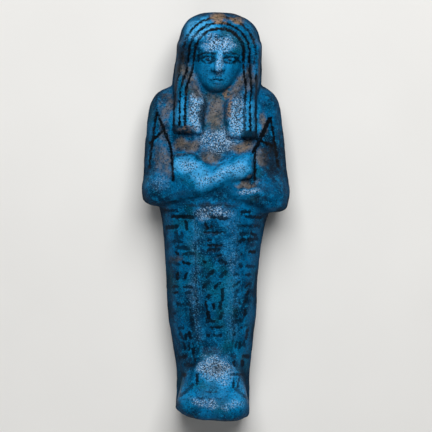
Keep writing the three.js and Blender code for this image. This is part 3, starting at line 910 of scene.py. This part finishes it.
def faience_material():
    """Mottled blue glaze with painted sheen, then wear and flecks partly painted as glints, dust, black
    paint, bare body, grime and painted shade, pits, and painted shade in hollows and on the flanks.
    """
    n = Nodes("faience")
    ink, strength, hollow_shade = (n.attribute(name) for name in ("ink", "ink_strength", "hollow_shade"))
    wear_and_glints, dust, bare, grime_and_shade = (n.attribute(name) for name in ("wear_and_glints", "dust", "bare", "grime_and_shade"))
    light, flank_shade = n.attribute("light"), n.attribute("flank_shade")
    cloud, teal = n.noise(CLOUD_SIZE, 3), n.noise(TEAL_SIZE, 4, 0.6)
    mottle, grain = n.noise(MOTTLE_SIZE, 3, 0.6), n.noise(GRAIN_SIZE, 3, 0.65)
    fleck, pit = n.noise(FLECK_SIZE, 1), n.noise(PIT_SIZE, 1)

    def ragged(share, low, high):
        """A soft share broken up along its edge by the grain."""
        return n.math("MULTIPLY", share, n.step(n.math("MULTIPLY_ADD", share, 0.3, grain), low, high))

    # Glaze: deep to bright by clouds and mottles, teal in places, and a painted sheen (painted highlight)
    # where the light attribute lies
    colour = n.mix(n.step(cloud, 0.35, 0.65), linear(*DEEP_GLAZE), linear(*GLAZE))
    colour = n.mix(n.math("MULTIPLY", n.step(mottle, 0.48, 0.75), 0.6), colour, linear(*BRIGHT_GLAZE))
    colour = n.mix(n.math("MULTIPLY", n.step(teal, 0.5, 0.66), 0.55), colour, linear(*TEAL_GLAZE))
    uneven = n.math("MULTIPLY_ADD", n.step(mottle, 0.3, 0.6), 0.5, 0.5)
    painted_sheen_share = n.math("MULTIPLY", n.step(light, 0.0, 0.75), uneven)
    sheen = n.mix(n.step(light, 0.3, 0.9), linear(*PAINTED_SHEEN_GLAZE), linear(*PAINTED_HIGHLIGHT_GLAZE))
    colour = n.mix(painted_sheen_share, colour, sheen)

    # Wear, partly painted highlight: a pale wash in mottles, and flecks, partly painted glints, that are
    # whiter where it is stronger
    uneven = n.math("MULTIPLY_ADD", n.step(mottle, 0.35, 0.65), 0.6, 0.25)
    pale_wash = n.math("MULTIPLY", n.math("POWER", wear_and_glints, 1.5), uneven)
    colour = n.mix(pale_wash, colour, linear(*WORN_AND_SHEEN_GLAZE))
    flecks = n.step(n.math("MULTIPLY_ADD", wear_and_glints, 0.11, fleck), 0.6, 0.68)
    fleck_colour = n.mix(n.step(wear_and_glints, 0.08, 0.55), linear(*GLAZE_FLECK), linear(*PALE_FLECK))
    fleck_share = n.math("MULTIPLY", flecks, n.math("MULTIPLY_ADD", wear_and_glints, 0.3, 0.42))
    colour = n.mix(fleck_share, colour, fleck_colour)

    # Dust, then paint with frayed edges that wear rubs off, then bare body, and grime that is partly painted
    # shade under the hem and on the elbows
    dust_share = n.math("MULTIPLY", ragged(dust, 0.46, 0.76), 0.85)
    soil = n.mix(n.step(mottle, 0.35, 0.62), linear(*DUST_SHADE), linear(*DUST))
    colour = n.mix(dust_share, colour, soil)
    edge = n.math("MULTIPLY_ADD", n.math("SUBTRACT", grain, 0.5), 1.3, ink)
    edge = n.math("MULTIPLY_ADD", n.math("SUBTRACT", mottle, 0.5), 0.7, edge)
    kept = n.math("MULTIPLY", n.math("MULTIPLY_ADD", wear_and_glints, -0.6, 1.0), n.step(mottle, 0.22, 0.42))
    paint = n.math("MULTIPLY", n.math("MULTIPLY", n.step(edge, 0.2, -0.2), strength), kept)
    colour = n.mix(paint, colour, linear(*PAINT))
    bare_share = ragged(bare, 0.5, 0.72)
    body = n.mix(n.step(grain, 0.35, 0.65), linear(*BARE_SHADE), linear(*BARE_BODY))
    colour = n.mix(n.math("MULTIPLY", bare_share, 0.9), colour, body)
    colour = n.mix(n.math("MULTIPLY", ragged(grime_and_shade, 0.5, 0.72), 0.9), colour, linear(*GRIME_AND_SHADE))

    # Pits, painted shade in hollows, and painted shade on the flanks where no dust or wear covers it
    pits = n.step(n.math("MULTIPLY_ADD", wear_and_glints, -0.07, pit), 0.43, 0.35)
    pits = n.math("MULTIPLY", pits, n.math("MULTIPLY_ADD", wear_and_glints, 0.3, 0.6))
    colour = n.mix(pits, colour, linear(*PIT_AND_SHADE))
    colour = n.mix(n.math("MULTIPLY", n.step(hollow_shade, 0.25, 0.95), 0.55), colour, linear(*PIT_AND_SHADE))
    shade = n.math("MULTIPLY", flank_shade, n.math("MULTIPLY_ADD", n.step(cloud, 0.35, 0.65), -0.3, 0.85))
    marked = n.math("MAXIMUM", dust_share, wear_and_glints)
    shade = n.math("MULTIPLY", shade, n.math("MULTIPLY_ADD", marked, -0.7, 1.0))
    colour = n.mix(shade, colour, linear(*FLANK_SHADE_GLAZE))
    n.feed(n.shader.inputs["Base Color"], colour)

    # Gloss and fine relief
    dull = n.math("MAXIMUM", dust_share, bare_share)
    dull = n.math("MAXIMUM", dull, flank_shade)
    rough = n.math("MULTIPLY_ADD", dull, 0.55, n.math("MULTIPLY_ADD", mottle, 0.25, 0.16))
    n.feed(n.shader.inputs["Roughness"], rough)
    n.feed(n.shader.inputs["Specular IOR Level"], 0.04)
    height = n.math("MULTIPLY_ADD", grain, 0.7, n.math("MULTIPLY", fleck, 0.3))
    height = n.math("MULTIPLY_ADD", pits, -0.6, height)
    bump = n.new("ShaderNodeBump")
    n.feed(bump.inputs["Strength"], 0.8)
    n.feed(bump.inputs["Distance"], 0.2 * MM)
    n.feed(bump.inputs["Height"], height)
    n.feed(n.shader.inputs["Normal"], bump.outputs["Normal"])
    return n.material


def ushabti_piece():
    """The figure as one mesh in metres, centred over the frame's origin in plan, with its back at z = 0."""
    skin = skin_grid()
    slope = slope_of(skin)
    normal = slope / np.maximum(np.linalg.norm(slope, axis=-1, keepdims=True), 1e-6)
    carved = carved_lines(*np.moveaxis(skin, -1, 0))
    ink, strength = nearest(carved + brushed_lines(*np.moveaxis(skin, -1, 0)))
    values = {
        "ink": ink,
        "ink_strength": strength,
        # Wear, partly painted glints where the glaze would catch the light
        "wear_and_glints": np.maximum(blotches(skin, WORN_AND_GLINT_OVALS, WORN_AND_GLINT_BARS), hidden_patches(skin, *HIDDEN_WEAR)),
        "dust": np.maximum(blotches(skin, DUST_OVALS, DUST_BARS), hidden_patches(skin, *HIDDEN_DUST)),
        "bare": blotches(skin, BARE_OVALS, BARE_BARS),
        # Grime, and painted shade under the hem and on the elbows
        "grime_and_shade": blotches(skin, GRIME_AND_SHADE_OVALS),
        # Painted highlights: a sheen where the glaze would catch the light
        "light": blotches(skin, PAINTED_SHEEN_OVALS, PAINTED_SHEEN_BARS),
        # Painted shade on the sides
        "flank_shade": flank_shade_mask(skin, normal),
        # Painted shade in hollows, left off walls that face the crown, towards the softbox
        "hollow_shade": hollowness(skin, normal) * eased(0.5, 0.0, normal[..., 1]),
    }
    attributes = {name: with_soles(value, value[0].mean()) for name, value in values.items()}
    groove = GROOVE_DEPTH * eased(0.2, -0.25, nearest(carved)[0])
    relief = skin + (hand_relief(skin) - groove)[..., None] * normal
    shaped = bent(with_soles(relief, np.array([0, relief[0, :, 1].mean(), CORE_DEPTH[0][1]])))
    low, high = shaped.min(axis=(0, 1)), shaped.max(axis=(0, 1))
    shaped -= np.array([(low[0] + high[0]) / 2, (low[1] + high[1]) / 2, low[2]])

    piece = bpy.data.objects.new("ushabti", skin_mesh(shaped * MM, attributes))
    bpy.context.scene.collection.objects.link(piece)
    piece.data.materials.append(faience_material())
    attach(piece, "root")
    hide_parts("ushabti_figure")


def add_floor():
    """A wide pale sheet under the figure."""
    mesh = bpy.data.meshes.new("floor")
    turns = ((-1, -1), (1, -1), (1, 1), (-1, 1))
    corners = [(across * FLOOR_HALF, up * FLOOR_HALF, 0) for across, up in turns]
    mesh.from_pydata(corners, [], [(0, 1, 2, 3)])
    floor = bpy.data.objects.new("floor", mesh)
    bpy.context.scene.collection.objects.link(floor)
    n = Nodes("floor_paper")
    colour = n.mix(n.noise(PAPER_SIZE), linear(*PAPER), linear(*PALE_PAPER))
    n.feed(n.shader.inputs["Base Color"], colour)
    n.feed(n.shader.inputs["Roughness"], 0.9)
    mesh.materials.append(n.material)


def add_light(name, place, size, power):
    """A square softbox that faces the middle of the figure."""
    data = bpy.data.lights.new(name, "AREA")
    data.size = size
    data.energy = power
    light = bpy.data.objects.new(name, data)
    light.location = place
    light.rotation_euler = (-light.location).to_track_quat("-Z", "Y").to_euler()
    bpy.context.scene.collection.objects.link(light)


def add_camera():
    """A long lens straight above the figure, turned a little, so that the figure leans in the picture."""
    data = bpy.data.cameras.new("camera")
    data.lens = data.sensor_width * CAMERA_HEIGHT / FRAME_WIDTH
    camera = bpy.data.objects.new("camera", data)
    camera.location = (CAMERA_SIDE, 0, CAMERA_HEIGHT + VIEW_PLANE)
    camera.rotation_euler = (0, 0, math.radians(CAMERA_TURN))
    bpy.context.scene.collection.objects.link(camera)
    bpy.context.scene.camera = camera


def add_world():
    """Even, weak light from all round."""
    world = bpy.data.worlds.new("studio")
    world.use_nodes = True
    world.node_tree.nodes["Background"].inputs["Strength"].default_value = WORLD_LIGHT
    bpy.context.scene.world = world


ushabti_piece()
add_floor()
add_light("softbox", **SOFTBOX)
add_light("fill", **FILL)
add_camera()
add_world()
bpy.context.scene.view_settings.view_transform = "Standard"
